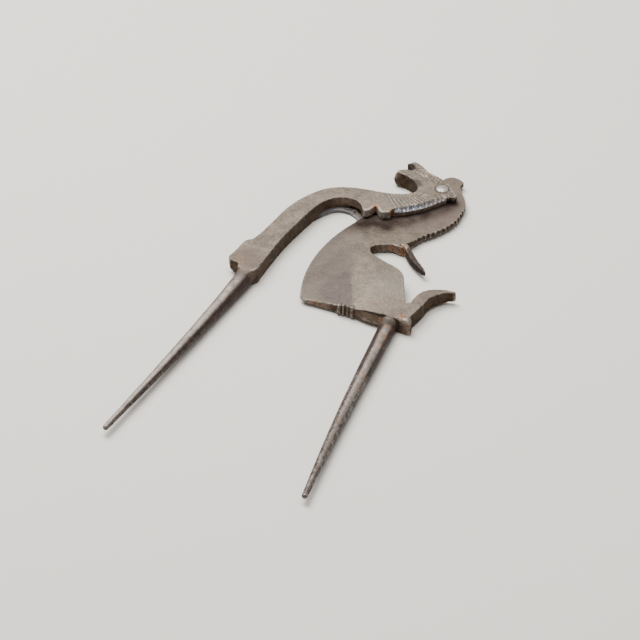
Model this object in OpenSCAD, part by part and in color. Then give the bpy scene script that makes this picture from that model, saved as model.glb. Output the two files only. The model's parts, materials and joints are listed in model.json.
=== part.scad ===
// Hand-forged areca-nut cracker: two iron levers on one rivet.
// Millimetres, +Z up. The tool lies flat on z = 0 with its handles towards -Y.
// Plan shapes are given from the pivot, and pivot_at moves them into the part's frame.

/* [Arm] */
// Thickness of the anvil arm, and of the blade arm at its lug
arm_t = 6.6; // [6.2:0.1:8]
// Thickness of the lower cheek, beneath the slot
low_cheek = 1.05; // [0.9:0.05:1.2]
// Height of the slot that the blade swings in
slot_w = 2.2; // [2.1:0.05:2.5]

/* [Blade] */
// Thickness of the blade where it runs in the slot
neck_t = 1.9; // [1.5:0.1:2]
// Thickness left at the cutting edge
edge_t = 0.25; // [0.1:0.05:0.6]
// Radius of the curved cutting edge
edge_r = 68; // [66:0.5:70]
// Number of notches along the mane
mane_teeth = 12; // [6:1:14]
// Depth of each notch of the mane
tooth_depth = 0.8; // [0.3:0.1:1.2]

/* [Rivet] */
// Diameter of the rivet's shank
shank_d = 3.8; // [3:0.1:4.4]
// Radial clearance of the blade on the shank
pivot_gap = 0.05; // [0.02:0.01:0.1]
// Diameter of the domed head
head_d = 5.3; // [5:0.1:6.5]
// Height of the domed head above the arm
head_h = 0.8; // [0.5:0.1:1.2]
// Depth of the peened tail's countersink
peen_h = 0.8; // [0.4:0.1:1.2]

/* [Handles] */
// Diameter of each handle where it leaves the forging
grip_d = 6.5; // [5.5:0.1:6.6]
// Extra width of the anvil handle's root, which is flattened to the arm's thickness
root_extra = 1.1; // [0:0.1:1.5]
// Diameter of each handle at its tip
tip_d = 2.2; // [1.6:0.1:3]

/* [Neck carving] */
// Number of chiselled grooves across the neck
neck_grooves = 12; // [2:1:14]
// Depth of each groove
groove_depth = 0.25; // [0.15:0.05:0.5]

/* [Hidden] */

// The pivot's place, which puts the frame's origin under the middle of the part.
pivot_at = [15.1, 88.2, 0];
mid_z = arm_t / 2;
slot_mid = low_cheek + slot_w / 2;
steps = 4;

// One point of a smooth curve between p1 and p2, whose neighbours are p0 and p3.
function curve_point(p0, p1, p2, p3, t) =
    0.5 * (2 * p1 + (p2 - p0) * t
        + (2 * p0 - 5 * p1 + 4 * p2 - p3) * t * t
        + (3 * p1 - p0 - 3 * p2 + p3) * t * t * t);

// A smooth open curve through every point of p.
function smooth(p) = [
    for (i = [0:len(p) - 2]) for (k = [0:steps - 1])
        curve_point(p[max(i - 1, 0)], p[i], p[i + 1], p[min(i + 2, len(p) - 1)], k / steps),
    p[len(p) - 1]
];

// An arc of n straight steps between two angles.
function arc(centre, r, from, to, n) =
    [for (i = [0:n]) let (a = from + (to - from) * i / n) centre + r * [cos(a), sin(a)]];

// The point that lies t of the way along the path, from 0 to 1.
function along(path, t) =
    let (place = t * (len(path) - 1))
    let (i = min(floor(place), len(path) - 2))
    path[i] + (path[i + 1] - path[i]) * (place - i);

// The unit vector to the right of the path there.
function inward(path, t) =
    let (run = along(path, min(t + 0.02, 1)) - along(path, max(t - 0.02, 0)))
    [run[1], -run[0]] / norm(run);

// ---- Anvil arm, clockwise from the throat ----
arm_back = smooth([
    [-9, -6.2], [-11, -8], [-15, -9.8], [-20, -11], [-26, -11.5], [-32, -12.6], [-37.5, -14.6],
    [-42, -18], [-45.3, -22.6], [-48.2, -28.6], [-50.4, -37], [-51.4, -45], [-52.5, -52.5],
    [-53.8, -58]
]);
foot = smooth([[-53.8, -58], [-56, -60.2], [-56.6, -63.5], [-57, -67.5], [-57.8, -72]]);
foot_end = [[-56.6, -73.8], [-52.7, -74.6], [-52.3, -76.8]];
arm_bite = smooth([
    [-45.9, -77.2], [-44.6, -75.4], [-44.6, -72], [-44.4, -64], [-44.1, -56], [-43.5, -49], [-42.5, -42],
    [-41.2, -34], [-39.4, -27], [-37, -22.8], [-34, -20.5], [-30.2, -19.5], [-27.3, -19.9],
    [-24.9, -21.7], [-23.3, -23.9], [-22.4, -24.7]
]);
scallops = concat(
    smooth([[-22.4, -24.7], [-21.2, -24.4], [-20.1, -22.8], [-19.4, -19.9]]),
    smooth([[-19.4, -19.9], [-18.1, -21.3], [-16.6, -22.9], [-15.5, -23.4], [-14.4, -22.6], [-12.9, -22.1]])
);
neck_edge = smooth([
    [-12.7, -19.8], [-11.4, -19.8], [-9.2, -18.7], [-7.1, -17], [-5.1, -15.3], [-3, -13.4], [-1, -11],
    [0.6, -8.7], [2, -6.6], [3.4, -5.1]
]);
hook = smooth([[3.4, -5.1], [4.5, -4], [6.2, -3.8], [7.2, -2.4]]);
face = smooth([
    [7.2, -2.4], [4, 1], [1.6, 3.7], [-1.4, 5.6], [-5, 7.1], [-8.8, 8.3], [-12, 10.6], [-15, 12.3],
    [-16.6, 12.6]
]);
mouth = [[-18.5, 10.2], [-14.8, 7.2]];
jaw = smooth([[-14.8, 7.2], [-17.6, 6.9], [-20, 6], [-21, 4.6], [-20.2, 3.5]]);
throat = smooth([[-20.2, 3.5], [-16.6, 3], [-13.4, 1.6], [-10.6, -0.6], [-8.9, -3.2], [-9, -6.2]]);
arm_outline = concat(arm_back, foot, foot_end, arm_bite, scallops, neck_edge, hook, face, mouth, jaw, throat);

// The lower cheek has no scallops, and stands out below the arch as a ledge.
ledge_outline = concat(
    smooth([
        [-43, -34], [-40.6, -31], [-38.7, -27.2], [-36.2, -23.4], [-33.4, -21.7], [-30.2, -21.6],
        [-28, -22.4], [-26.2, -23.3], [-24, -24.6], [-20.5, -25.2], [-16, -24.4], [-10.5, -20.4], [-4, -15.6]
    ]),
    [[-12, -14], [-38, -17], [-44, -30]]
);

// Beside the slot the ledge is a little taller.
ledge_step = concat(
    smooth([
        [-43, -33.4], [-40.7, -30.8], [-38.9, -27.1], [-36.5, -23.2], [-33.5, -21.5], [-30.2, -21.4],
        [-28.1, -22.1]
    ]),
    [[-27.6, -18], [-37.6, -17.4], [-43.8, -29.6]]
);

// The slot that is open from the forehead round the back of the head to the arch.
slot_outline = concat(
    [[30, 30], [-13.6, 30]],
    smooth([
        [-13.6, 5.4], [-11.6, 2.6], [-8.8, -0.2], [-7.6, -3.6], [-8.2, -7.4], [-11, -10.4], [-16, -12.4],
        [-21.5, -14.2], [-25.6, -16.6], [-27, -20]
    ]),
    [[-27, -40], [30, -40]]
);

// Only the thin edge of the blade reaches the far end of the slot, which is lower there.
slot_end = smooth([[-22, -13], [-25.6, -14.8], [-28.8, -17], [-30.6, -20.4], [-31, -40], [-22, -40]]);

// ---- Blade arm ----
edge_centre = [37.8, -54.6];
crest = smooth([
    [-3.4, 8], [-3.6, 10.6], [-2.3, 12.6], [-0.5, 13.5], [1.5, 13.3], [3.3, 12.5], [4.5, 11.6]
]);
nape = smooth([[4.5, 11.6], [4.1, 9.4], [5.1, 7], [6.9, 4.2], [9, 1.1], [10.5, -2.1], [11.2, -6.2]]);
mane_base = smooth([
    [11.2, -6.2], [11.5, -10.7], [10.6, -15.2], [8.9, -19.4], [6.5, -23.5], [3.9, -26.9], [1.9, -30.6]
]);

// Every tooth rises slowly along the mane and falls off steeply, like a saw's.
mane = [
    for (i = [0:mane_teeth - 1]) for (corner = [[0.12, 1], [0.55, 0.35], [1, 0]])
        let (t = (i + corner[0]) / mane_teeth)
        along(mane_base, t) + inward(mane_base, t) * tooth_depth * corner[1]
];
notch = smooth([
    [1.9, -30.6], [0.6, -33.6], [-0.9, -35.2], [0.5, -36.9], [-0.1, -38.7], [-2.1, -38.8], [-4.7, -38.2],
    [-7.5, -39], [-10.2, -40.4], [-11.8, -42.4], [-11.4, -44.9], [-9.6, -47.3], [-6, -49.3],
    [-2, -51.2], [1.6, -52.7], [5, -54.9], [7.6, -58.2], [10, -63.4], [12.4, -69.2], [14.6, -73.4]
]);
lug = concat(
    [[17.5, -71], [20.6, -72.5], [19.9, -77]],
    smooth([[19.1, -80.2], [20.2, -81.3], [20.8, -82.6], [20.2, -83.8], [18.8, -84.1]])
);
heel = smooth([
    [18.8, -84.1], [14, -83.2], [6, -82.9], [-2, -82.2], [-12, -81.4], [-20, -81.3], [-23, -81.4],
    [-24.6, -80.8]
]);
edge = arc(edge_centre, edge_r, 202.2, 157.4, 24);
slot_side = smooth([
    [-24.8, -28.2], [-24.3, -26], [-22.6, -23.4], [-18.6, -20.7], [-13.8, -18], [-9.2, -15],
    [-6.7, -11.6], [-5.9, -7.4], [-6.2, -3.4], [-6.2, 0], [-5.2, 4], [-3.4, 8]
]);
blade_outline = concat(crest, nape, mane, notch, lug, heel, edge, slot_side);

claw_outline = concat(
    smooth([[-1.7, -35.6], [1.1, -37.1], [4.2, -40.5], [7.9, -44.4], [11.1, -47.3], [13.1, -49.4]]),
    smooth([[12.6, -50], [10, -48.3], [6.3, -45.7], [2.9, -42.4], [0.3, -39], [-1.7, -38]])
);
tail_outline = concat(
    smooth([
        [14.2, -74], [15.9, -72.4], [16.2, -69], [17, -65.4], [19, -62.4], [22.2, -60.1], [25.6, -58.7],
        [28.8, -58.1]
    ]),
    smooth([
        [28.4, -59.3], [26.1, -60], [23.8, -62.4], [21.9, -65.1], [21, -68.2], [20.7, -72.4]
    ])
);

module placed() {
    translate(pivot_at) children();
}

// A slab that gets thicker or thinner along +X.
// Each row of rows is [distance, height of its lower face, height of its upper face].
module taper(rows, width) {
    above = [for (row = rows) [row[0], row[2]]];
    below = [for (i = [len(rows) - 1:-1:0]) [rows[i][0], rows[i][1]]];
    rotate([90, 0, 0])
    linear_extrude(width, center = true) polygon(concat(above, below));
}

// A round bar that tapers from point a to its rounded tip at point b, cut to the arm's thickness.
// It is wider at the root by extra, and swells in the middle by swell.
module handle(a, b, extra, swell) {
    run = b - a;
    length = norm(run) - 0.9;
    parts = 10;
    side = [
        for (i = [0:parts]) let (t = i / parts)
            [(grip_d + (tip_d - grip_d) * t + extra * pow(1 - t, 8) + swell * 4 * t * (1 - t)) / 2, length * t]
    ];
    intersection() {
        translate([a[0], a[1], mid_z]) rotate([0, 0, atan2(run[1], run[0])]) rotate([0, 90, 0])
        rotate_extrude($fn = 64)
        polygon(concat([[0, 0]], side, [[tip_d * 0.35, length + 0.6], [0, length + 0.9]]));
        translate([a[0] - 20, b[1] - 1, 0]) cube([40, norm(run) + 4, arm_t]);
    }
}

// V-shaped chisel cuts that lean across the neck, from its back to its lower edge.
module neck_cuts() {
    width = groove_depth * sqrt(2);
    for (i = [0:neck_grooves - 1]) {
        t = i / (neck_grooves - 1);
        from = [-18.5 + 11 * t, -11.6 + 5.4 * t];
        to = [-11.4 + 12.6 * t, -19.6 + 12.4 * t];
        middle = (from + to) / 2;
        translate([middle[0], middle[1], arm_t])
        rotate([0, 0, atan2(to[1] - from[1], to[0] - from[0])])
        rotate([45, 0, 0])
        cube([norm(to - from) - 1, width, width], center = true);
    }
}

module anvil_arm() {
    color("#6d645b") placed() difference() {
        union() {
            linear_extrude(arm_t) polygon(arm_outline);
            linear_extrude(low_cheek) polygon(ledge_outline);
            linear_extrude(low_cheek + 0.4) polygon(ledge_step);
            handle([-48.4, -73.5], [-58, -181.3], root_extra, 0);
        }
        translate([0, 0, low_cheek]) linear_extrude(slot_w) polygon(slot_outline);
        translate([0, 0, slot_mid - 0.6]) linear_extrude(1.2) polygon(slot_end);
        translate([0, 0, -1]) cylinder(h = arm_t + 2, d = shank_d, $fn = 64);
        translate([0, 0, -0.01]) cylinder(h = peen_h + 0.01, d1 = head_d, d2 = shank_d, $fn = 64);
        neck_cuts();
        foot_relief();
    }
}

// The underside of the foot is filed away towards its tip.
module foot_relief() {
    translate([0, -68, 0]) rotate([90, 0, 0])
    linear_extrude(16, center = true)
    polygon([[-53.2, -1], [-53.2, 0], [-58.6, 3.8], [-58.6, -1]]);
}

module blade_arm() {
    color("#7d756e") placed() difference() {
        union() {
            intersection() {
                linear_extrude(arm_t) polygon(blade_outline);
                union() {
                    grind();
                    translate([-9.5, -30, -1]) cube([40, 46, arm_t + 2]);
                }
                rotate([0, 0, -67.5])
                taper([
                    [-30, slot_mid - neck_t / 2, slot_mid + neck_t / 2],
                    [24.5, slot_mid - neck_t / 2, slot_mid + neck_t / 2],
                    [33, 0.75, 4.2], [38, 0.35, 4.9], [58, 0, arm_t], [120, 0, arm_t]
                ], 200);
            }
            intersection() {
                linear_extrude(arm_t) polygon(claw_outline);
                translate([0, -38, 0]) rotate([0, 0, -44])
                taper([[-6, 0.7, 5.1], [3, 0.8, 5], [10, 1.3, 4.6], [18, 1.9, 4.1]], 30);
            }
            intersection() {
                linear_extrude(arm_t) polygon(tail_outline);
                taper([[10, 0, arm_t], [18, 0, arm_t], [24, 0.7, 5.9], [30, 1.3, 5.3]], 300);
            }
            moulding();
            handle([11.9, -80.4], [23, -189], 0, 0.4);
        }
        translate([0, 0, -1]) cylinder(h = arm_t + 2, d = shank_d + 2 * pivot_gap, $fn = 64);
    }
}

// The blade's faces: cones about the centre of the cutting edge, which lies level with the slot's middle.
module grind() {
    above = [[0, arm_t - slot_mid], [41, arm_t - slot_mid], [53, 1.75], [62, 1.3], [edge_r + 0.3, edge_t / 2]];
    below = [[edge_r + 0.3, -edge_t / 2], [62, -1.3], [53, -1.75], [41, -slot_mid], [0, -slot_mid]];
    translate([edge_centre[0], edge_centre[1], slot_mid])
    rotate_extrude($fn = 180) polygon(concat(above, below));
}

// Filed ribs across the heel of the blade, between two stouter ones.
module moulding() {
    for (i = [0:3])
        translate([-8.7 + 1.75 * i, -81.6 - 0.08 * i, 0.5])
        cylinder(h = 4 + 0.25 * i, r = i % 3 == 0 ? 0.95 : 0.6, $fn = 24);
}

module pivot_rivet() {
    dome_r = (head_d * head_d / 4 + head_h * head_h) / (2 * head_h);
    color("#a8a49e") placed() {
        cylinder(h = arm_t, d = shank_d, $fn = 64);
        cylinder(h = peen_h, d1 = head_d, d2 = shank_d, $fn = 64);
        intersection() {
            translate([0, 0, arm_t + head_h - dome_r]) sphere(r = dome_r, $fn = 96);
            translate([0, 0, arm_t]) cylinder(h = head_h + 1, d = head_d, $fn = 64);
        }
    }
}

anvil_arm();
blade_arm();
pivot_rivet();
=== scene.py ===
"""Looks of the forged areca-nut cutter: worn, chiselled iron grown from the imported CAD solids.

Shapes are worked in millimetres. Plan places are given from the pivot, as in the CAD source.
"""

import itertools
import json
import math

import bpy
import numpy as np
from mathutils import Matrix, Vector


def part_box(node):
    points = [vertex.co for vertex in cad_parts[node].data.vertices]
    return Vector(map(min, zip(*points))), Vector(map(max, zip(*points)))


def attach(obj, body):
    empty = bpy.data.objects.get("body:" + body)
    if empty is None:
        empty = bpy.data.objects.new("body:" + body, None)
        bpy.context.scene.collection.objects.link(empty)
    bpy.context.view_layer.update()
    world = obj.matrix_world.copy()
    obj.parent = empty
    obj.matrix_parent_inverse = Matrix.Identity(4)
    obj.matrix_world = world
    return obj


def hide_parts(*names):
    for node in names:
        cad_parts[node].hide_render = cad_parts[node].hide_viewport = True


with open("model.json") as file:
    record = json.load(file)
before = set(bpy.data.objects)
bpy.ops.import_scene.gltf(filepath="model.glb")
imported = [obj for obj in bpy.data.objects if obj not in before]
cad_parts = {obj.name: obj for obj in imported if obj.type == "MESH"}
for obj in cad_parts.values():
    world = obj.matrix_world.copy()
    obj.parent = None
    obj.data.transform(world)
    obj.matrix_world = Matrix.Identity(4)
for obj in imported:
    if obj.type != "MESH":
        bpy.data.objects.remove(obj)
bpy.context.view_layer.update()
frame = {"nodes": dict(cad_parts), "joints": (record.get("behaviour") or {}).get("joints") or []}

MM = 0.001
PIVOT = np.array(frame["joints"][0]["pos_m"]) / MM
ARM_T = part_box("anvil_arm")[1].z / MM
MID_Z = ARM_T / 2
LOWER_CHEEK = 1.05
SLOT_W = 2.2
SLOT_MID = LOWER_CHEEK + SLOT_W / 2
SLOT_TOP = SLOT_MID + SLOT_W / 2
NECK_T = 1.9
EDGE_CENTRE = np.array([37.8, -54.6])
EDGE_R = 68.0
PITCH = 0.22
RIVET_PITCH = 0.12
MOST_FACES = 186000
# A corner that stands out this far above its surroundings is fully worn.
SHARP_RELIEF = 0.10 * PITCH
# A handle's own vertices lie nearer than this to its axis.
HANDLE_REACH = 6.0


# ---- Numbers ----
def rounds(full):
    return full


def noise(points, size, seed):
    """Smooth noise from -1 to 1, whose bumps are about size millimetres across."""
    cells = 32
    grid = np.random.RandomState(seed).uniform(-1, 1, (cells,) * 3)
    place = points / size + 7.3
    cell = np.floor(place).astype(int)
    part = place - cell
    part = part * part * (3 - 2 * part)
    total = np.zeros(len(points))
    for corner in itertools.product((0, 1), repeat=3):
        i, j, k = ((cell + corner) % cells).T
        weight = np.where(corner, part, 1 - part).prod(axis=1)
        total += weight * grid[i, j, k]
    return total


def step(low, high, values):
    """0 below low and 1 above high, with a smooth change between."""
    t = np.clip((values - low) / (high - low), 0, 1)
    return t * t * (3 - 2 * t)


def near(points, place, reach):
    """1 at place, falling smoothly to 0 at reach from it."""
    return 1 - step(0, reach, np.linalg.norm(points - np.array(place), axis=1))


def curve(points, parts=6):
    """A smooth line through plan points."""
    p = np.array(points, float)
    p = np.vstack([2 * p[0] - p[1], p, 2 * p[-1] - p[-2]])
    line = []
    for i in range(1, len(p) - 2):
        a, b, c, d = p[i - 1 : i + 3]
        for k in range(parts):
            t = k / parts
            square = (2 * a - 5 * b + 4 * c - d) * t**2
            cube = (3 * b - a - 3 * c + d) * t**3
            line.append(0.5 * (2 * b + (c - a) * t + square + cube))
    return np.array([*line, p[-2]])


def to_line(points, line):
    """Each plan point's distance to a line, its share of the way along it, and its side.

    The side is 1 on the left of the line and -1 on the right.
    """
    best = np.full(len(points), 1e9)
    share = np.zeros(len(points))
    side = np.ones(len(points))
    pieces = len(line) - 1
    for i in range(pieces):
        a, run = line[i], line[i + 1] - line[i]
        t = np.clip((points - a) @ run / (run @ run), 0, 1)
        off = points - a - t[:, None] * run
        d = np.linalg.norm(off, axis=1)
        closer = d < best
        best = np.where(closer, d, best)
        share = np.where(closer, (i + t) / pieces, share)
        turn = run[0] * (points[:, 1] - a[1]) - run[1] * (points[:, 0] - a[0])
        side = np.where(closer, np.where(turn >= 0, 1, -1), side)
    return best, share, side


def along(line, share):
    """The point that lies share of the way along a line."""
    place = share * (len(line) - 1)
    i = min(int(place), len(line) - 2)
    return line[i] + (line[i + 1] - line[i]) * (place - i)


# ---- Shapes ----
def evaluated(mesh, **modifiers):
    """A new mesh, which is mesh after modifiers given as TYPE={setting: value}."""
    holder = bpy.data.objects.new("holder", mesh)
    bpy.context.scene.collection.objects.link(holder)
    for kind, settings in modifiers.items():
        modifier = holder.modifiers.new(kind, kind)
        for name, value in settings.items():
            setattr(modifier, name, value)
    depsgraph = bpy.context.evaluated_depsgraph_get()
    made = bpy.data.meshes.new_from_object(holder.evaluated_get(depsgraph))
    bpy.data.objects.remove(holder)
    return made


class Iron:
    """A CAD node's shape as an even, fine mesh that can be pushed about in numpy."""

    def __init__(self, node, pitch):
        self.node = node
        rough = frame["nodes"][node].data.copy()
        co = np.empty(len(rough.vertices) * 3)
        rough.vertices.foreach_get("co", co)
        rough.vertices.foreach_set("co", co / MM)
        self.mesh = evaluated(
            rough,
            WELD={"merge_threshold": 0.001},
            REMESH={"mode": "VOXEL", "voxel_size": pitch},
        )
        count = len(self.mesh.vertices)
        co = np.empty(count * 3)
        self.mesh.vertices.foreach_get("co", co)
        self.co = co.reshape(-1, 3) - [PIVOT[0], PIVOT[1], 0]
        edges = np.empty(len(self.mesh.edges) * 2, int)
        self.mesh.edges.foreach_get("vertices", edges)
        self.a, self.b = edges.reshape(-1, 2).T
        self.degree = np.bincount(self.a, minlength=count) + np.bincount(self.b, minlength=count)
        self.marks = {}

    def blurred(self, values, times=1):
        """values, each replaced by the mean of its neighbours, times over."""
        count = len(self.co)
        for _ in range(times):
            total = np.bincount(self.a, values[self.b], count)
            total = total + np.bincount(self.b, values[self.a], count)
            values = total / self.degree
        return values

    def mean(self, times=1):
        """The mean place of each vertex's neighbours, times over."""
        return np.stack([self.blurred(self.co[:, i], times) for i in range(3)], axis=1)

    def normals(self):
        """Every vertex's outward direction."""
        self.mesh.vertices.foreach_set("co", self.co.ravel())
        self.mesh.update()
        out = np.empty(len(self.co) * 3, np.float32)
        self.mesh.vertex_normals.foreach_get("vector", out)
        return out.reshape(-1, 3).astype(float)

    def soften(self, times, share=1.0):
        """Rounds the edges off without shrinking the whole, by a pull in and a push back out."""
        for _ in range(times):
            for pull in (0.55, -0.57):
                self.co += pull * (self.mean() - self.co) * np.reshape(share, (-1, 1))

    def fillet(self, share, times):
        """Melts the corners away where share is 1."""
        for _ in range(times):
            self.co += 0.6 * (self.mean() - self.co) * share[:, None]

    def relief(self):
        """How far each vertex stands out from its surroundings, in millimetres."""
        return ((self.co - self.mean(3)) * self.normals()).sum(axis=1)

    def finished(self, body, slot, material):
        """The piece, in place of its CAD node."""
        for name, values in self.marks.items():
            attribute = self.mesh.attributes.new(name, "FLOAT", "POINT")
            attribute.data.foreach_set("value", values.astype(np.float32))
        self.co[:, 2] = np.maximum(self.co[:, 2], 0)
        where = (self.co + [PIVOT[0], PIVOT[1], 0]) * MM
        self.mesh.vertices.foreach_set("co", where.ravel())
        self.mesh.update()
        mesh = self.mesh
        triangles = 2 * len(mesh.polygons)
        if triangles > MOST_FACES:
            mesh = evaluated(mesh, DECIMATE={"ratio": MOST_FACES / triangles})
        mesh.shade_smooth()
        mesh.materials.clear()
        mesh.materials.append(material)
        piece = bpy.data.objects.new(self.node + "_worn", mesh)
        bpy.context.scene.collection.objects.link(piece)
        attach(piece, body)
        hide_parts(self.node)
        return piece


def bow(shape, line, aside, late):
    """Bends a handle sideways by aside millimetres at most, further out as late is over 1."""
    start, end = np.array(line)
    run = end - start
    length = np.linalg.norm(run)
    run = run / length
    across = np.array([run[1], -run[0]])
    offset = shape.co[:, :2] - start
    t = offset @ run / length
    here = (t > 0) & (np.abs(offset @ across) < HANDLE_REACH)
    lift = np.sin(np.pi * np.clip(t, 0, 1) ** late) * aside
    shape.co[:, :2] += np.where(here, lift, 0)[:, None] * across
    shape.marks["grip"] = np.where(here, step(0.0, 0.05, t + noise(shape.co, 3, 21) * 0.015), 0)


def hammer(shape, strength):
    """Uneven forged faces and fine pits."""
    out = shape.normals()
    broad = noise(shape.co, 11, 3) * 0.08 + noise(shape.co, 4.7, 4) * 0.05
    fine = noise(shape.co, 1.7, 5) * 0.022 + noise(shape.co, 0.8, 6) * 0.014
    shape.co += out * ((broad + fine) * strength)[:, None]


def carve(shape, line, width, depth, top=True):
    """Cuts a chisel mark along a plan line, on the upper or the lower face."""
    d, t, _ = to_line(shape.co[:, :2], line)
    face = step(ARM_T - 1.4, ARM_T - 0.6, shape.co[:, 2] if top else ARM_T - shape.co[:, 2])
    ends = step(0, 0.15, t) * step(0, 0.15, 1 - t)
    cut = (1 - step(0, width / 2, d)) * depth * (0.25 + 0.75 * ends) * face
    shape.co[:, 2] -= cut if top else -cut


def stroke(shape, luck, points, width, depth, top=True):
    """Cuts a chisel mark by hand: its points, width and depth each come out a little off."""
    points = np.array(points) + luck.uniform(-0.15, 0.15, (len(points), 2))
    width = width * luck.uniform(0.8, 1.25)
    carve(shape, curve(points), width, depth * luck.uniform(0.7, 1.3), top)


def weather(shape):
    """Marks what the material reads: worn edges, dirty hollows, upright faces, painted dark as oxide
    and painted shade, and upward faces, which carry a painted highlight on the handles.
    """
    relief = shape.relief() / SHARP_RELIEF
    shape.marks["worn"] = shape.blurred(np.clip(relief, 0, 1.5), 2)
    shape.marks["dirt"] = shape.blurred(np.clip(-relief, 0, 1.5), 3)
    level = np.abs(shape.normals()[:, 2])
    # Upright faces are painted dark: partly their oxide, partly painted shade.
    shape.marks["wall"] = shape.blurred(1 - step(0.3, 0.8, level), 2)
    # Upward faces get a painted highlight. It shows on the handles, which are also rubbed there.
    shape.marks["rubbed_and_lit"] = shape.blurred(step(0.72, 0.97, level), 3)


def paint(shape, name, spots, size=1.6, ragged=0.5):
    """Adds patches, each given as (place, reach, strength), with edges broken up by noise."""
    total = shape.marks.get(name, np.zeros(len(shape.co)))
    rough = noise(shape.co, size, 31) * 0.6 + noise(shape.co, size / 2.3, 32) * 0.4
    for place, reach, strength in spots:
        spread = near(shape.co[:, :2], place, reach)
        broken = spread + rough * ragged * step(0, 0.2, spread)
        total = np.maximum(total, strength * step(0.15, 0.55, broken))
    shape.marks[name] = total


# ---- Anvil arm ----
NECK_EDGE = curve([
    [-12.7, -19.8], [-11.4, -19.8], [-9.2, -18.7], [-7.1, -17.0], [-5.1, -15.3],
    [-3.0, -13.4], [-1.0, -11.0], [0.6, -8.7], [2.0, -6.6], [3.4, -5.1],
])
HOOK = curve([[3.4, -5.1], [4.5, -4.0], [6.2, -3.8], [7.2, -2.4], [5.6, -0.6]])
SCALLOPS = curve([
    [-22.4, -24.7], [-20.6, -23.8], [-19.4, -20.5], [-18.1, -21.3], [-15.5, -23.4], [-12.9, -22.1],
])
LEDGE = curve([
    [-40.6, -31.0], [-38.7, -27.2], [-36.2, -23.4], [-33.4, -21.7], [-30.2, -21.6], [-28.0, -22.4],
    [-26.2, -23.3], [-24.0, -24.6],
])
HEAD = [-6, 0]
CHIN = [-20.4, 4.4]
CHIN_END = [-21.0, 4.6]
THROAT = [-13.5, -0.5]
NECK = [-8, -12]
ARCH = [-31, -21]
FOOT = [-51, -74]
ANVIL_ROOT = [-48.5, -77]
ANVIL_GRIP = ([-48.4, -76], [-58, -181.3])
SLOT_END_X, SLOT_END_Y = -31.6, -27
ARCH_SLOT_X, ARCH_SLOT_HALF = -27.4, 0.6
RIM_Z = (4.2, 5.6)
# Shares of the way along the neck's edge at which its chamfer is nicked into beads.
NICKS = (0.26, 0.42, 0.53, 0.62, 0.70, 0.78, 0.86, 0.94)
FOLDS = 11


def fan_share(xy):
    """How far round the fan of the neck's folds each plan point lies: 0 at the first, 1 at the last."""
    total = np.zeros(len(xy))
    lines, beyond, gap = 24, 3, 0.62
    for i in range(-beyond, lines + beyond):
        k = (i + 0.5) / lines
        start = np.array([-18.5 + 11 * k, -11.6 + 5.4 * k])
        run = np.array([-11.4 + 12.6 * k, -19.6 + 12.4 * k]) - start
        turn = (xy[:, 1] - start[1]) * run[0] - (xy[:, 0] - start[0]) * run[1]
        past = turn / np.linalg.norm(run)
        total += np.clip(0.5 + past / gap, 0, 1)
    return (total - beyond) / lines


def bulge_chin(shape):
    """Swells the chin like a barrel beyond its top edge. Gives the vertices' directions before it."""
    co = shape.co
    out = shape.normals()
    chin = near(co[:, :2], CHIN, 5.4) * (out[:, 0] < 0.3) * (co[:, 1] < 7.2)
    plump = np.cos(np.pi * np.clip((co[:, 2] - MID_Z + 0.4) / ARM_T, -0.5, 0.5))
    level = np.maximum(np.linalg.norm(out[:, :2], axis=1, keepdims=True), 0.2)
    co[:, :2] += out[:, :2] / level * (chin * (plump * 1.5 - 0.45))[:, None]
    shape.fillet(near(co[:, :2], CHIN_END, 5.5), rounds(30))
    return out


def undercut_hook(shape):
    """Draws the upper cheek's wall in under the hook behind the eye, and leaves its tip out."""
    co = shape.co
    d, t, _ = to_line(co[:, :2], HOOK)
    above = (co[:, 2] > SLOT_TOP - 0.2) * (1 - step(SLOT_TOP, ARM_T - 0.4, co[:, 2]))
    drawn = above * (1 - step(0.6, 2.6, d)) * step(0, 0.15, t)
    co[:, :2] += drawn[:, None] * [-0.75, 1.3]


def chamfer_neck(shape, d, t):
    """Chamfers the neck's lower edge, narrower towards the head. Gives its width and its shine."""
    z = shape.co[:, 2]
    width = 1.7 * (1 - 0.4 * step(0.65, 1.0, t)) * step(0.02, 0.08, t)
    inside = (d < 3) & (t > 0.005) & (t < 0.99) & (z > SLOT_TOP + 0.4)
    clamp = ARM_T - np.clip(width - d, 0, None) * 0.85
    z[:] = np.where(inside, np.minimum(z, clamp), z)
    shine = np.where(inside, step(0.0, 0.4, width - d) * step(4.4, 5.4, z), 0)
    return width, shine


def fold_neck(shape, luck, clear):
    """Fans chiselled folds out across the neck where clear, cuts its underside and nicks its edge."""
    co = shape.co
    fan = fan_share(co[:, :2])
    fold = np.cos(2 * np.pi * FOLDS * fan + noise(co, 5, 62) * 2.0)
    across = step(-0.02, 0.06, fan) * (1 - step(0.94, 1.02, fan)) * clear * (co[:, 2] > MID_Z + 2)
    strength = 0.75 + 0.75 * noise(co, 3.3, 63)
    co[:, 2] -= across * fold * 0.17 * strength * (near(co[:, :2], NECK, 14) > 0)
    cuts = 8
    for i in range(cuts):
        k = (i + luck.uniform(0.2, 0.8)) / cuts
        start = np.array([-18.4 + 11.0 * k, -11.3 + 5.2 * k])
        end = np.array([-11.6 + 12.8 * k, -19.8 + 12.4 * k])
        start, end = (
            start + (end - start) * luck.uniform(0.0, 0.5),
            end + (start - end) * luck.uniform(0.0, 0.35),
        )
        middle = (start + end) / 2 + [0.5, 0.5]
        stroke(shape, luck, [start, middle, end], 0.9, 0.10, top=False)
    for share in NICKS:
        place = along(NECK_EDGE, share)
        stroke(shape, luck, [place + [-1.5, 1.7], place, place + [0.3, -0.4]], 0.95, 0.5)


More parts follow.
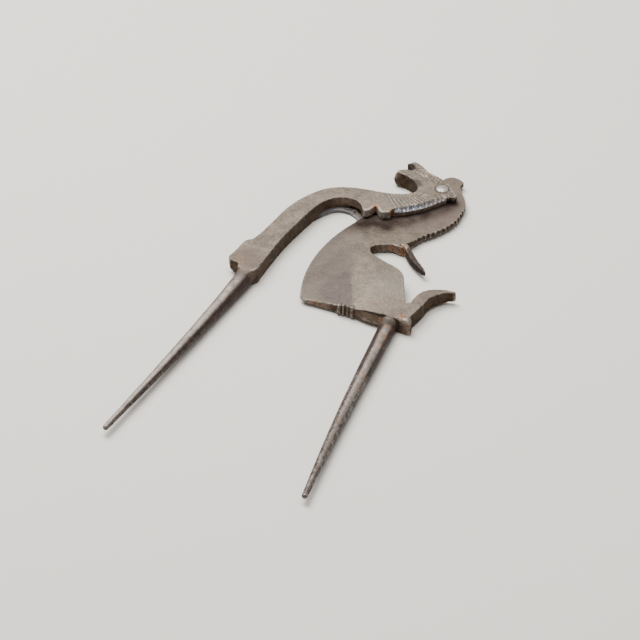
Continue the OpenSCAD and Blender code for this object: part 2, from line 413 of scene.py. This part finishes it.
def carve_head(shape, luck):
    """Chisels curls on the forehead and the cheek, and feathers behind the eye."""
    for i in range(13):
        root = np.array([-14.6 + 12.2 * i / 12, 10.6 - 5.6 * i / 12]) + luck.uniform(-0.4, 0.4, 2)
        long = luck.uniform(0.7, 1.6)
        curl = [root, root + [-0.7 * long, -1.0 * long], root + [-0.2 * long, -2.0 * long]]
        stroke(shape, luck, curl, 0.62, 0.28)
    for i in range(10):
        root = np.array([-13.4 + 8.8 * i / 9, 6.4 - 2.6 * i / 9]) + luck.uniform(-0.6, 0.6, 2)
        long = luck.uniform(0.6, 1.3)
        curl = [root, root + [0.9 * long, -0.4 * long], root + [1.3 * long, -1.4 * long]]
        stroke(shape, luck, curl, 0.65, 0.28)
    for i in range(7):
        root = np.array([0.6 + 5.4 * i / 6, 3.4 - 4.8 * i / 6])
        stroke(shape, luck, [root, root + [-0.7, -1.1], root + [-1.9, -1.9]], 0.75, 0.36)
    for place in ([3.4, -3.0], [4.9, -2.0], [2.2, -4.2]):
        stroke(shape, luck, [place, np.array(place) + [1.2, -1.4]], 0.8, 0.45)


def file_throat(shape, out):
    """Files upright marks into the throat's wall, whose vertices face out."""
    co = shape.co
    throat = (np.abs(out[:, 2]) < 0.4) * near(co[:, :2], THROAT, 6.5)
    ridges = np.sin((co[:, 0] * 0.8 + co[:, 1] * 0.6) * 5.5 + noise(co, 5, 61)) * 0.06
    co[:, :2] += out[:, :2] * (ridges * step(0, 0.4, throat))[:, None]


def anvil_arm():
    """The arm with the arch, the neck and the carved head."""
    shape = Iron("anvil_arm", PITCH)
    marks = shape.marks
    co = shape.co
    xy, z = co[:, :2], co[:, 2]
    # The slot is lower at the arch.
    half = np.where(xy[:, 0] > ARCH_SLOT_X, SLOT_W / 2, ARCH_SLOT_HALF)
    slot_skin = (np.abs(z - SLOT_MID) < half + 0.25) & (xy[:, 0] > SLOT_END_X) & (xy[:, 1] > SLOT_END_Y)
    still = np.maximum(0.6 * step(0, 0.3, near(xy, HEAD, 26)), np.where(slot_skin, 0.8, 0))
    shape.soften(rounds(14), 1 - still)
    hammer(shape, np.where(slot_skin, 0.1, 1.0))
    bow(shape, ANVIL_GRIP, -0.6, 0.8)

    # The handle's root melts into the end of the flat arm.
    shape.fillet(near(xy, ANVIL_ROOT, 8) * (z > 0.5), rounds(30))
    out = bulge_chin(shape)
    undercut_hook(shape)
    edge, way, _ = to_line(xy, NECK_EDGE)
    chamfer, polished = chamfer_neck(shape, edge, way)
    luck = np.random.RandomState(8)
    fold_neck(shape, luck, edge > chamfer * 0.6)

    # The scallops' upper rims and the ledge are worn round.
    scallop, _, _ = to_line(xy, SCALLOPS)
    lip, lip_way, _ = to_line(xy, LEDGE)
    worn_round = (1 - step(0.8, 1.6, scallop)) * step(*RIM_Z, z)
    worn_round = np.maximum(worn_round, (1 - step(1.2, 2.0, lip)) * (z < SLOT_MID - 0.3))
    shape.fillet(worn_round * ~slot_skin, rounds(14))
    carve_head(shape, luck)
    file_throat(shape, out)

    # Wear and dirt are slight on the carving and in the slot.
    weather(shape)
    out = shape.normals()
    upper = z > MID_Z
    in_slot = np.where(slot_skin, 0.1, 1.0)
    quiet = 1 - 0.65 * step(0.0, 0.3, near(xy, NECK, 15) * upper)
    marks["worn"] *= quiet * in_slot
    marks["dirt"] *= (1 - 0.45 * step(0, 0.3, near(xy, [-8, -6], 20))) * in_slot
    # Less painted highlight on the handle near its root.
    marks["rubbed_and_lit"] *= 1 - 0.7 * near(xy, [-49, -80], 9)

    # The chamfer and the ledge are polished by use. The rims along the neck and above the scallops are
    # bare metal, and the scallops' walls are lightened with painted light.
    ledge = (z < SLOT_MID - 0.2) * (1 - step(1.2, 2.2, lip)) * step(0.02, 0.2, lip_way)
    polished *= step(0.3, 0.6, out[:, 2]) * (1 - 0.55 * step(0.45, 0.7, way))
    marks["polish"] = np.maximum(polished, ledge * 0.5)
    rim = np.maximum((1 - step(0.4, 1.0, edge)) * step(0.05, 0.1, way), 1 - step(0.5, 1.3, scallop))
    high = np.where(scallop < 1.5, step(3.2, 4.0, z), step(*RIM_Z, z))
    marks["bare_and_lit"] = rim * high * step(SLOT_TOP - 0.2, SLOT_TOP + 0.6, z)

    # Painted light: the walls in the arch and below the rims are painted a lighter brown over their
    # oxide, for light from the board. The root of the handle is brown of its own.
    arch = near(xy, ARCH, 9) * (z > SLOT_MID) * (np.abs(out[:, 2]) < 0.6)
    root = step(0, 0.4, near(xy, [-48.8, -79], 7)) * upper * (xy[:, 1] < -75.4)
    brown_and_board_light = np.max([rim * (1 - high), arch, 0.6 * root], axis=0)
    marks["brown_and_board_light"] = brown_and_board_light * step(SLOT_TOP - 0.3, SLOT_TOP + 0.3, z)
    marks["tan"] = 0.75 * (step(0, 0.5, near(xy, FOOT, 15)) * upper) * (1 - marks["grip"])
    marks["pale"] = 1.15 * near(xy, [-12, -14], 10) * upper
    paint(shape, "rust", [
        ([-19.2, -21.2], 2.8, 1.6),
        ([-12.8, -20.8], 2.0, 1.5),
        ([-53.0, -72.5], 4, 0.3),
        ([-22.8, -24.6], 1.2, 0.6),
    ])
    # Painted shade in the mouth, under the throat and on the wall of the nose tip.
    paint(shape, "soot_and_shade", [
        ([-16.8, 8.6], 3.4, 1.0),
        ([-11.5, -0.8], 5.0, 0.7),
        ([-18.6, 9.6], 1.2, 0.9),
    ], size=3)
    # Painted shade in the crease round the rivet, under the hook, and a little on the ledge in the
    # arch.
    ring = np.linalg.norm(xy, axis=1)
    rivet_crease_shade = np.exp(-(((ring - 2.75) / 0.4) ** 2)) * upper * (0.6 + 0.4 * noise(co, 2, 72))
    hook = 0.6 * near(xy, [5.2, -4.2], 2.2) * (z < 5.2)
    marks["soot_and_shade"] = np.max([marks["soot_and_shade"], rivet_crease_shade, ledge * 0.12, hook], axis=0)
    return shape


# ---- Blade arm ----
CLAW = curve([[0.2, -37.8], [3.6, -41.4], [7.2, -45.2], [12.8, -49.6]])
CLAW_REACH = 2.4
CLAW_ROOT_X = 1.5
MANE = curve([
    [11.2, -6.2], [11.5, -10.7], [10.6, -15.2], [8.9, -19.4], [6.5, -23.5], [3.9, -26.9], [1.9, -30.6],
])
LUG = np.array([[20.2, -80.6], [20.8, -82.6], [20.2, -83.8], [18.8, -84.1], [15.6, -83.6]])
LUG_ROUND = 2.3
GROUND_LINE = np.array([
    [-23.7, -34.3], [-17.2, -48.0], [-13.4, -58.5], [-8.8, -68.9], [-2.8, -83.0],
])
UNDER_NECK = np.vstack([SCALLOPS[:-3], NECK_EDGE]) + [0.2, -0.4]
BLADE_GRIP = ([11.9, -83.0], [23, -189])
BLADE_ROOT = [12.4, -86]
# Heights of the blade's faces above and below the slot's middle: by the distance from the centre
# of the cutting edge, and by the distance down the neck, as in the CAD.
GRIND = (
    [(0, 4.45), (41, 4.45), (53, 1.75), (62, 1.3), (68.3, 0.125)],
    [(0, 2.15), (41, 2.15), (53, 1.75), (62, 1.3), (68.3, 0.125)],
)
TAPER = (
    [(-30, 0.95), (24.5, 0.95), (33, 2.05), (38, 2.75), (58, 4.45), (120, 4.45)],
    [(-30, 0.95), (24.5, 0.95), (33, 1.4), (38, 1.8), (58, 2.15), (120, 2.15)],
)
TAPER_ANGLE = math.radians(-67.5)
# How far the profiles' corners are rounded over: hardly at all as they come, and then widely.
CRISP, GRIND_BLUR, TAPER_BLUR = 0.01, 5.0, 4.0
# Which way the painted highlight along the handle faces, where the handle is also rubbed.
HIGHLIGHT_WAY = np.array([0.34, 0.0, 0.94])


def profile(rows, places, blur):
    """The rows' second value at places, with its corners rounded over blur."""
    xs, ys = np.array(rows, float).T
    fine = np.linspace(xs[0] - 3 * blur, xs[-1] + 3 * blur, 1500)
    spread = np.linspace(-3, 3, 121)
    bell = np.exp(-0.5 * spread**2)
    reach = np.linspace(-3 * blur, 3 * blur, 121)
    value = sum(w * np.interp(fine + r, xs, ys) for w, r in zip(bell / bell.sum(), reach))
    return np.interp(places, fine, value)


def grind(shape, rim):
    """Runs the blade's ground faces into each other without a ridge."""
    xy, z = shape.co[:, :2], shape.co[:, 2]
    down = xy @ np.array([math.cos(TAPER_ANGLE), math.sin(TAPER_ANGLE)])
    plate = (xy[:, 1] > -83.5) & (xy[:, 1] < -20) & (rim < EDGE_R - 3)
    for by_rim, by_neck, above in zip(GRIND, TAPER, (True, False)):
        was = np.minimum(profile(by_rim, rim, CRISP), profile(by_neck, down, CRISP))
        a, b = profile(by_rim, rim, GRIND_BLUR), profile(by_neck, down, TAPER_BLUR)
        soft = np.minimum(a, b) - 0.08 * np.exp(-((a - b) ** 2) / 0.3)
        here = plate & ((z > SLOT_MID) == above)
        ratio = np.where(here, np.clip(soft / was, 0.8, 1.15), 1)
        z[:] = SLOT_MID + (z - SLOT_MID) * ratio


def slant_mane(shape):
    """Files the mane's notches slantwise, so that they hardly reach its lower edge."""
    co = shape.co
    xy = co[:, :2]
    d, t, side = to_line(xy, MANE)
    low = 1 - step(SLOT_MID - 0.4, SLOT_MID + 0.7, co[:, 2])
    here = (d < 1.05) & (side < 0) & (t > 0.01) & (t < 0.99)
    wall = np.abs(shape.normals()[:, 2]) < 0.75
    pulls = np.where(here & wall, d * low * 0.3, 0)
    nearest = np.empty_like(xy)
    for axis in (0, 1):
        nearest[:, axis] = np.interp(t, np.linspace(0, 1, len(MANE)), MANE[:, axis])
    away = nearest - xy
    away /= np.maximum(np.linalg.norm(away, axis=1, keepdims=True), 0.05)
    co[:, :2] += away * shape.blurred(pulls)[:, None]
    return d


def swell_heel(shape, out):
    """Bulges the heel under a hollow, between its ribs and the handle."""
    x, y, z = shape.co.T
    face = (out[:, 1] < -0.5) * step(-3, 3, x) * (1 - step(9, 13, x)) * (y < -79)
    swell = np.exp(-(((z - 2.4) / 1.5) ** 2)) * 1.0 - 0.35 * step(4.2, 5.4, z)
    y -= face * swell


def round_lug(shape):
    """Rounds the upper corner of the lug over, where it stands beside the handle."""
    xy, z = shape.co[:, :2], shape.co[:, 2]
    d, _, _ = to_line(xy, LUG)
    past = np.clip(LUG_ROUND - d, 0, None)
    drop = LUG_ROUND - np.sqrt(np.clip(LUG_ROUND**2 - past**2, 0, None))
    z[:] = np.where(z > MID_Z, np.minimum(z, ARM_T - 0.9 * drop), z)
    shape.fillet(near(xy, [20.8, -83.4], 5), rounds(40))


def blade_arm():
    """The arm with the blade, the claw, the mane and the tail."""
    shape = Iron("blade_arm", PITCH)
    marks = shape.marks
    co = shape.co
    xy, z = co[:, :2], co[:, 2]
    rim = np.linalg.norm(xy - EDGE_CENTRE, axis=1)
    grind(shape, rim)
    mane = slant_mane(shape)
    claw, _, _ = to_line(xy, CLAW)
    out = shape.normals()
    swell_heel(shape, out)
    still = 0.85 * step(EDGE_R - 3, EDGE_R - 1, rim) + 0.75 * (1 - step(1.5, 3, mane))
    shape.soften(rounds(8), 1 - np.clip(still, 0, 0.85))
    corners = near(xy, [27.8, -58.8], 3) * 0.5 + near(xy, [13, -50.2], 2.5)
    shape.fillet(np.clip(corners, 0, 1), rounds(24))
    round_lug(shape)
    thin = (np.abs(z - SLOT_MID) < NECK_T / 2 + 0.2) & (xy[:, 1] > -34)
    off_edge = 1 - 0.8 * step(EDGE_R - 8, EDGE_R - 3, rim)
    hammer(shape, np.where(thin, 0.15, 1.0) * off_edge)
    bow(shape, BLADE_GRIP, 0.75, 1.1)
    weather(shape)

    # The ground patch beside the cutting edge, which fades out upwards.
    d, _, side = to_line(xy, GROUND_LINE)
    fade = 0.8 + 6.5 * step(-66, -48, xy[:, 1])
    uneven = noise(co, 3, 11) * 0.5 + noise(co, 1, 12) * 0.2
    marks["ground"] = step(-1, 1, (-side * d + uneven) / fade)
    marks["purple"] = step(0.1, 0.7, near(xy, [-10, -71], 19)) * marks["ground"]

    # Rust in the notch and on the lug, and in flakes down the handle.
    paint(shape, "rust", [
        ([-0.6, -39.0], 2.2, 0.9),
        ([-5, -38.8], 2.0, 0.4),
        ([16.2, -81.3], 2.8, 1.0),
        ([8.7, -84.0], 1.6, 0.8),
        ([6.5, -75.5], 2.6, 0.3),
        ([-19, -81.6], 3.0, 0.25),
    ])
    paint(shape, "rust", [
        ([14.1, -89.0], 2.2, 0.6),
        ([14.4, -94.5], 3.2, 0.8),
        ([14.8, -99.5], 2.2, 0.6),
        ([16.2, -118.7], 2.2, 0.6),
        ([17.0, -127], 1.8, 0.4),
        ([18, -146], 2, 0.4),
    ], size=1.5, ragged=0.9)

    # Painted shadow of the anvil arm's neck on the blade below it, and the claw darkened.
    on_claw = (claw < CLAW_REACH) * (xy[:, 0] > CLAW_ROOT_X)
    below, way, _ = to_line(xy, UNDER_NECK)
    shade = np.exp(-((below / (9.6 - 4.0 * way)) ** 3)) * (1.0 - 0.12 * way)
    blot = near(xy, [-11.2, -28.6], 4.0) * 0.35 + near(xy, [-20.5, -28.6], 4.5) * 0.35
    wisp = 0.96 + 0.16 * noise(co, 3.2, 41) + 0.1 * noise(co, 0.9, 42)
    claw_soot = on_claw * (0.80 + 0.08 * (out[:, 2] < 0.6))
    marks["soot_and_shade"] = np.clip(np.maximum((shade + blot) * wisp, claw_soot), 0, 1)

    # Browner stretches, walls at the lug, the heel and the notch that are brown of their own and
    # lightened with painted light from the board, and the paler middle of the blade.
    tan = 1.3 * near(xy, [6, -10], 36) + 1.2 * near(xy, [24, -61], 13)
    tan = tan + 0.6 * near(xy, [10, -80], 14) + on_claw
    marks["tan"] = np.clip(tan, 0, 1) * (1 - marks["grip"])
    to_front = out[:, 1] < -0.5
    front = near(xy, [18.5, -84], 4.5) * to_front + near(xy, [2, -83], 14) * 0.3 * to_front
    heel = near(xy, [-18, -81.5], 8) * (out[:, 1] < -0.4)
    notch = near(xy, [-6, -38.5], 8) * (np.abs(out[:, 2]) < 0.6)
    marks["brown_and_board_light"] = np.clip(np.max([front * 1.4, heel * 1.6, notch * 1.3], axis=0), 0, 1)
    marks["pale"] = near(xy, [4, -64], 19)

    # The cutting edge is bright from honing, and the handle gets a painted highlight along its upper
    # side, where it is also rubbed.
    honed = 0.9 * step(EDGE_R - 1.1, EDGE_R - 0.5, rim) * (xy[:, 1] < -30)
    marks["worn"] = np.maximum(marks["worn"], honed)
    facing = shape.normals() @ HIGHLIGHT_WAY
    highlight_streak = step(0.82, 0.99, facing) * (1 - 0.65 * step(-100, -175, xy[:, 1]))
    marks["rubbed_and_lit"] = shape.blurred(highlight_streak * (1 - near(xy, BLADE_ROOT, 7)), 3)
    return shape


def pivot_rivet():
    """The hammered rivet, with painted shade round its rim."""
    shape = Iron("pivot_rivet", RIVET_PITCH)
    shape.soften(6)
    hammer(shape, 0.6)
    weather(shape)
    ring = np.linalg.norm(shape.co[:, :2], axis=1)
    # Painted shade round the rivet head's rim.
    shape.marks["soot_and_shade"] = 0.55 * step(2.2, 2.6, ring + noise(shape.co, 1.2, 71) * 0.2)
    return shape


# ---- Materials ----
class Nodes:
    """Short names for the shader nodes in use. Sizes are in millimetres, and colours are linear."""

    def __init__(self, name):
        self.material = bpy.data.materials.new(name)
        self.material.use_nodes = True
        self.tree = self.material.node_tree
        self.shader = self.tree.nodes["Principled BSDF"]
        place = self.tree.nodes.new("ShaderNodeTexCoord")
        scale = self.tree.nodes.new("ShaderNodeMapping")
        scale.inputs["Scale"].default_value = (1 / MM,) * 3
        self.link(place.outputs["Object"], scale.inputs["Vector"])
        self.place = scale.outputs["Vector"]

    def link(self, source, socket):
        """Joins an output to an input."""
        self.tree.links.new(source, socket)

    def fill(self, socket, value):
        """Gives an input a constant, or joins it to the output that value is."""
        if isinstance(value, bpy.types.NodeSocket):
            self.link(value, socket)
        else:
            socket.default_value = value

    def noise(self, size, detail=3.0, rough=0.55, twist=0.0, stretch=None):
        """Noise of that size, drawn out where stretch gives (degrees of turn, x, y and z scale)."""
        node = self.tree.nodes.new("ShaderNodeTexNoise")
        vector = self.place
        if stretch is not None:
            turned = self.tree.nodes.new("ShaderNodeMapping")
            turned.inputs["Rotation"].default_value = (0, 0, math.radians(stretch[0]))
            turned.inputs["Scale"].default_value = stretch[1:]
            self.link(vector, turned.inputs["Vector"])
            vector = turned.outputs["Vector"]
        self.link(vector, node.inputs["Vector"])
        node.inputs["Scale"].default_value = 1 / size
        node.inputs["Detail"].default_value = detail
        node.inputs["Roughness"].default_value = rough
        node.inputs["Distortion"].default_value = twist
        return node.outputs["Fac"]

    def mark(self, name):
        """A mark kept on the mesh's vertices."""
        node = self.tree.nodes.new("ShaderNodeAttribute")
        node.attribute_name = name
        return node.outputs["Fac"]

    def range(self, value, low, high, to_low=0.0, to_high=1.0):
        """value's stretch from low to high, made to run from to_low to to_high."""
        node = self.tree.nodes.new("ShaderNodeMapRange")
        node.interpolation_type = "SMOOTHSTEP"
        ends = {"From Min": low, "From Max": high, "To Min": to_low, "To Max": to_high}
        for name, number in ends.items():
            node.inputs[name].default_value = number
        self.link(value, node.inputs["Value"])
        return node.outputs["Result"]

    def math(self, kind, a, b):
        """What the operation kind makes of two numbers."""
        node = self.tree.nodes.new("ShaderNodeMath")
        node.operation = kind
        self.fill(node.inputs[0], a)
        self.fill(node.inputs[1], b)
        return node.outputs[0]

    def times(self, a, b):
        """The product of two numbers."""
        return self.math("MULTIPLY", a, b)

    def most(self, first, *others):
        """The largest of the numbers."""
        for other in others:
            first = self.math("MAXIMUM", first, other)
        return first

    def mix(self, share, a, b):
        """A colour between a and b."""
        node = self.tree.nodes.new("ShaderNodeMix")
        node.data_type = "RGBA"
        self.fill(node.inputs["Factor"], share)
        for socket, colour in zip(node.inputs[6:8], (a, b)):
            joined = isinstance(colour, bpy.types.NodeSocket)
            self.fill(socket, colour if joined else (*colour, 1))
        return node.outputs[2]

    def blend(self, share, a, b):
        """A number between a and b."""
        node = self.tree.nodes.new("ShaderNodeMix")
        node.data_type = "FLOAT"
        self.fill(node.inputs["Factor"], share)
        self.fill(node.inputs[2], a)
        self.fill(node.inputs[3], b)
        return node.outputs[0]

    def bump(self, height, strength, distance, before=None):
        """A normal bent by height, on top of the bump before it."""
        node = self.tree.nodes.new("ShaderNodeBump")
        node.inputs["Strength"].default_value = strength
        node.inputs["Distance"].default_value = distance * MM
        self.link(height, node.inputs["Height"])
        if before is not None:
            self.link(before, node.inputs["Normal"])
        return node.outputs["Normal"]


def shaded(colour, share):
    """colour with its brightness multiplied by share."""
    return [c * share for c in colour]


TOP_LIGHT, TOP_DARK = (0.235, 0.191, 0.150), (0.155, 0.124, 0.095)
# The wall colours: the first is dark oxide darkened further as painted shade, the second is brown oxide
# lightened as painted light from the board.
WALL_OXIDE_AND_SHADE, WALL_BROWN_LIT = (0.056, 0.032, 0.015), (0.19, 0.13, 0.095)
PALE, TAN = (0.235, 0.215, 0.18), (0.14, 0.105, 0.088)
HONED_DARK, HONED_LIGHT = (0.10, 0.08, 0.07), (0.14, 0.115, 0.10)
HONED_STAIN, HONED_PURPLE = (0.17, 0.145, 0.12), (0.098, 0.08, 0.078)
GRIP, GRIP_SPECK = (0.044, 0.026, 0.021), (0.2, 0.15, 0.13)
# The handle's rubbed strip is painted lighter as a highlight.
RUBBED_LIT_DARK, RUBBED_LIT_LIGHT = (0.32, 0.27, 0.235), (0.45, 0.395, 0.355)
# The soot colour is mostly painted shade.
DIRT, SOOT_SHADE = (0.03, 0.022, 0.016), (0.022, 0.014, 0.012)
# The bare colour stands for bare metal and for painted light on the scallops' walls.
WORN, BARE_LIT, POLISHED = (0.36, 0.325, 0.29), (0.40, 0.35, 0.31), (0.20, 0.21, 0.25)
RUST_LIGHT, RUST_DARK = (0.42, 0.19, 0.085), (0.18, 0.085, 0.05)
# The rivet's wall colour is partly its own darker tone, partly painted shade.
RIVET_LIGHT, RIVET_DARK, RIVET_WALL_TONE_AND_SHADE = (0.45, 0.42, 0.39), (0.34, 0.32, 0.29), (0.16, 0.14, 0.12)
# Noise drawn out along the hammered arms, and along the ground patch: turn, then scale on each axis.
BRUSHED, GROUND = (64, 0.1, 1, 1), (72, 0.06, 1, 1)


def iron(name, light, dark, wall, grip=None, rough=0.5):
    """Old forged iron: light and dark patina, dark upright faces that are partly oxide and partly
    painted shade, faces lightened by painted light from the board, dark handles with a painted
    highlight along the top, worn edges and rims with painted light, rust, and dark marks that are
    mostly painted shade.
    """
    n = Nodes(name)
    grip = grip or dark
    clouds = n.range(n.noise(9, 4), 0.36, 0.64)
    flecks = n.range(n.noise(0.75, 3, 0.75), 0.46, 0.66)
    pocks = n.range(n.noise(0.6, 3, 0.7, 0.3), 0.56, 0.7)
    grime = n.range(n.noise(2.6, 5, 0.68, 0.4), 0.44, 0.62)
    specks = n.range(n.noise(0.45, 2, 0.6), 0.62, 0.74)
    brushed = n.range(n.noise(0.45, 3, 0.65, stretch=BRUSHED), 0.35, 0.7)
    soot_and_shade, held, polish = n.mark("soot_and_shade"), n.mark("grip"), n.mark("polish")

    # The upper faces: patina, with flecks, pocks and brushed streaks.
    colour = n.mix(clouds, light, dark)
    colour = n.mix(n.times(grime, 0.5), colour, shaded(dark, 0.5))
    colour = n.mix(n.times(n.mark("pale"), 0.6), colour, PALE)
    colour = n.mix(n.times(flecks, 0.42), colour, shaded(light, 1.7))
    colour = n.mix(n.times(pocks, 0.5), colour, shaded(dark, 0.4))
    colour = n.mix(n.times(brushed, 0.15), colour, shaded(dark, 0.55))
    colour = n.mix(n.times(n.mark("tan"), 0.6), colour, TAN)

    # The ground patch: long streaks, stained, and purple at its heart.
    streaks = n.range(n.noise(0.5, 3, 0.6, stretch=GROUND), 0.35, 0.68)
    stains = n.range(n.noise(13, 3, 0.5), 0.42, 0.62)
    honed = n.mix(streaks, HONED_DARK, HONED_LIGHT)
    honed = n.mix(n.times(stains, 0.5), honed, HONED_STAIN)
    honed = n.mix(n.times(n.mark("purple"), 0.8), honed, HONED_PURPLE)
    colour = n.mix(n.times(n.mark("ground"), 0.8), colour, honed)

    # The walls: dark oxide, darkened further as painted shade.
    wall_oxide_and_shade = n.times(n.mark("wall"), n.range(n.noise(2.4, 3), 0.2, 0.6, 0.85, 1.0))
    colour = n.mix(wall_oxide_and_shade, colour, n.mix(grime, wall, shaded(wall, 0.4)))
    # Painted light from the board: these walls are painted a lighter brown over their oxide.
    brown_and_board_light = n.times(n.mark("brown_and_board_light"), n.range(n.noise(1.6, 4, 0.6), 0.35, 0.6, 0.35, 0.95))
    colour = n.mix(brown_and_board_light, colour, WALL_BROWN_LIT)

    # The handles, dark from hands, with a painted highlight along the top, where they are also rubbed.
    handle = n.mix(grime, grip, shaded(grip, 0.45))
    handle = n.mix(n.times(specks, 0.4), handle, GRIP_SPECK)
    highlight_stripe = n.times(n.mark("rubbed_and_lit"), n.range(n.noise(3.5, 4, 0.6), 0.3, 0.6, 0.55, 1.0))
    handle = n.mix(highlight_stripe, handle, n.mix(flecks, RUBBED_LIT_DARK, RUBBED_LIT_LIGHT))
    colour = n.mix(held, colour, handle)

    # What lies on top: dirt, dark marks that are mostly painted shade, bare metal with painted light,
    # and rust.
    dirt = n.range(n.mark("dirt"), 0.15, 0.9, 0, 0.75)
    colour = n.mix(dirt, colour, DIRT)
    # Painted shade and shadow.
    colour = n.mix(n.times(soot_and_shade, 0.97), colour, SOOT_SHADE)
    worn = n.times(n.range(n.mark("worn"), 0.3, 1.1), n.range(n.noise(1.3, 4, 0.65), 0.42, 0.62))
    worn = n.times(worn, n.blend(soot_and_shade, 1.0, 0.2))
    colour = n.mix(n.times(worn, 0.5), colour, WORN)
    # Bare metal on the rims, with painted light on the walls below them.
    bare_lit_metal = n.times(n.mark("bare_and_lit"), n.range(n.noise(1.1, 3), 0.3, 0.6, 0.3, 0.9))
    colour = n.mix(bare_lit_metal, colour, BARE_LIT)
    colour = n.mix(n.times(polish, 0.85), colour, POLISHED)
    rust = n.times(n.mark("rust"), n.range(n.noise(0.8, 5, 0.75), 0.4, 0.62))
    rust_colour = n.mix(n.range(n.noise(0.6, 3), 0.4, 0.65), RUST_LIGHT, RUST_DARK)
    n.link(n.mix(rust, colour, rust_colour), n.shader.inputs["Base Color"])

    # Roughness, metal and shine follow the same marks.
    dull = n.most(wall_oxide_and_shade, dirt)
    shine = n.blend(flecks, rough + 0.06, rough - 0.14)
    shine = n.blend(pocks, shine, rough + 0.25)
    shine = n.blend(held, shine, n.blend(grime, 0.42, 0.58))
    for share, roughness in (
        (dull, 0.68), (worn, 0.36), (bare_lit_metal, 0.38), (polish, 0.3), (soot_and_shade, 0.75), (rust, 0.85),
    ):
        shine = n.blend(share, shine, roughness)
    n.link(shine, n.shader.inputs["Roughness"])
    metal = n.blend(dull, 0.55, 0.1)
    metal = n.blend(n.most(soot_and_shade, brown_and_board_light, bare_lit_metal), metal, 0.0)
    metal = n.blend(polish, metal, 0.85)
    n.link(n.blend(rust, metal, 0.0), n.shader.inputs["Metallic"])
    matt = n.most(
        soot_and_shade,
        n.times(n.most(wall_oxide_and_shade, brown_and_board_light), 0.7),
        n.times(n.mark("ground"), 0.35),
        n.times(n.mark("tan"), 0.4),
        n.times(n.mark("purple"), 0.8),
    )
    n.link(n.blend(matt, 0.5, 0.06), n.shader.inputs["Specular IOR Level"])
    pits = n.bump(n.noise(0.5, 4, 0.7), 0.9, 0.1)
    lines = n.bump(brushed, 0.4, 0.025, pits)
    n.link(n.bump(n.noise(2.0, 4, 0.6), 0.55, 0.15, lines), n.shader.inputs["Normal"])
    return n.material


def plain(name, colour, rough):
    """One even colour."""
    n = Nodes(name)
    n.shader.inputs["Base Color"].default_value = (*colour, 1)
    n.shader.inputs["Roughness"].default_value = rough
    return n.material


# ---- Stage (metres and degrees) ----
AZIMUTH, ELEVATION = 23.0, 37.0
DISTANCE = 1.559
TARGET = (0.00115, 0.00072, 0)
SENSOR, LENS = 36, 236.25
SKY, SKY_STRENGTH = (0.95, 0.97, 1.0, 1), 0.35
LAMP = (1.0, 0.97, 0.93)
FLOOR, FLOOR_ROUGH, FLOOR_HALF = (0.80, 0.77, 0.72), 0.75, 1.5


def aim(thing, place, target):
    """Puts a camera or a lamp at place, facing target."""
    thing.location = place
    direction = Vector(target) - Vector(place)
    thing.rotation_euler = direction.to_track_quat("-Z", "Y").to_euler()


def outward(azimuth, elevation, distance):
    """The offset to a point that far away in that direction. Azimuth 0 lies towards -Y."""
    a, e = math.radians(azimuth), math.radians(elevation)
    return distance * Vector((math.sin(a) * math.cos(e), -math.cos(a) * math.cos(e), math.sin(e)))


def stage():
    """The camera at the photo's angle, a soft studio light and a pale floor."""
    scene = bpy.context.scene
    camera = bpy.data.objects.new("camera", bpy.data.cameras.new("camera"))
    scene.collection.objects.link(camera)
    camera.data.sensor_width = SENSOR
    camera.data.lens = LENS
    target = Vector(TARGET)
    aim(camera, target + outward(AZIMUTH, ELEVATION, DISTANCE), target)
    scene.camera = camera

    world = bpy.data.worlds.new("studio")
    world.use_nodes = True
    sky = world.node_tree.nodes["Background"]
    sky.inputs["Color"].default_value = SKY
    sky.inputs["Strength"].default_value = SKY_STRENGTH
    scene.world = world

    for name, azimuth, elevation, distance, size, power in (
        ("key", -120, 58, 1.0, 0.7, 13.0),
        ("top", -150, 82, 1.1, 0.9, 12.0),
    ):
        light = bpy.data.objects.new(name, bpy.data.lights.new(name, "AREA"))
        light.data.shape = "DISK"
        light.data.size = size
        light.data.energy = power
        light.data.color = LAMP
        scene.collection.objects.link(light)
        aim(light, outward(azimuth, elevation, distance), (0, 0, 0))

    floor_mesh = bpy.data.meshes.new("floor")
    half = FLOOR_HALF
    corners = [(-half, -half, 0), (half, -half, 0), (half, half, 0), (-half, half, 0)]
    floor_mesh.from_pydata(corners, [], [(0, 1, 2, 3)])
    floor_mesh.materials.append(plain("floor", FLOOR, FLOOR_ROUGH))
    floor = bpy.data.objects.new("floor", floor_mesh)
    scene.collection.objects.link(floor)


stage()
anvil_iron = iron("anvil_iron", TOP_LIGHT, TOP_DARK, WALL_OXIDE_AND_SHADE, GRIP)
anvil_arm().finished("anvil_lever", "anvil_iron", anvil_iron)
blade_iron = iron("blade_iron", TOP_LIGHT, TOP_DARK, WALL_OXIDE_AND_SHADE, GRIP)
blade_arm().finished("blade_lever", "blade_iron", blade_iron)
rivet_iron = iron("rivet_iron", RIVET_LIGHT, RIVET_DARK, RIVET_WALL_TONE_AND_SHADE, rough=0.42)
pivot_rivet().finished("anvil_lever", "rivet_iron", rivet_iron)
